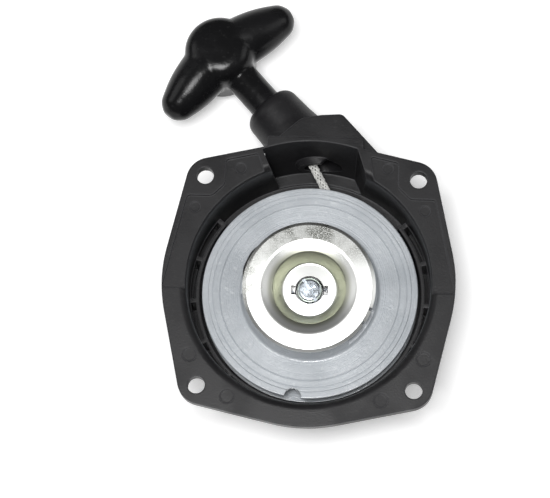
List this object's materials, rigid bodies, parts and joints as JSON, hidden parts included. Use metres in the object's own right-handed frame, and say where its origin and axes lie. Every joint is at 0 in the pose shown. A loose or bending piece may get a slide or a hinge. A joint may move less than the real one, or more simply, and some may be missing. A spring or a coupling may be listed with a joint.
{
  "type": "recoil starter",
  "caption": "Recoil starter for a small engine: a moulded housing with a sprung rope reel, friction-plate ratchet, rope and T-shaped pull handle.",
  "frame": {"origin": "centre of the four bolt holes, on the mounting face that meets the engine", "axes": "+Z along the reel's axis, out of the open side towards the engine; +Y towards the rope tower; +X to the right when looking into the open side"},
  "size_m": [0.1032, 0.153, 0.036],
  "materials": {
    "black_nylon": "satin moulded, fine texture",
    "black_handle": "smooth satin moulded",
    "natural_nylon": "milky moulded nylon with faint turned rings",
    "black_acetal": "smooth",
    "zinc_plate": "bright zinc plated, slightly mottled",
    "zinc_screw": "zinc plated",
    "spring_steel": "blued strip",
    "steel": "machined",
    "brass": "turned",
    "rope": "braided nylon, white with dark fleck yarns"
  },
  "bodies": {
    "housing": {"housing": "black_nylon", "spring_case": "zinc_screw", "recoil_spring": "spring_steel", "thread_insert": "brass", "centre_bush": "steel", "centre_screw": "zinc_screw", "rope_guide": "steel", "rope_lead": "rope"},
    "reel": {"reel": "natural_nylon", "wound_rope": "rope", "reel_knot": "rope", "pawl_pin": "steel", "pawl_spring": "spring_steel"},
    "pawl": {"pawl": "black_acetal"},
    "plate": {"friction_plate": "zinc_plate", "friction_spring": "spring_steel"},
    "handle": {"handle_grip": "black_handle", "handle_cap": "black_handle", "knot_washer": "steel", "handle_knot": "rope", "handle_rope": "rope"}
  },
  "joints": [
    {"name": "handle_pull", "type": "slide", "parent": "housing", "child": "handle", "axis": [-0.6756, 0.7373, 0], "range_m": [0, 0.62], "stiffness_N_per_m": 25, "springref_m": -0.3, "deforming": ["handle_rope", "rope_lead"]},
    {"name": "reel_spin", "type": "hinge", "parent": "housing", "child": "reel", "pos_m": [0, 0, -0.02], "axis": [0, 0, 1], "range_deg": [0, 1945], "deforming": ["wound_rope", "recoil_spring"]},
    {"name": "plate_slip", "type": "hinge", "parent": "reel", "child": "plate", "pos_m": [0, 0, -0.01], "axis": [0, 0, -1], "range_deg": [0, 18]},
    {"name": "pawl_swing", "type": "hinge", "parent": "reel", "child": "pawl", "pos_m": [-0.00985, 0.01261, -0.0116], "axis": [0, 0, -1], "range_deg": [0, 20.1], "deforming": ["pawl_spring"]}
  ],
  "couplings": [
    {"joint": "reel_spin", "follows": "handle_pull", "rad_per_m": 54.7},
    {"joint": "pawl_swing", "follows": "plate_slip", "ratio": 1.1111}
  ]
}
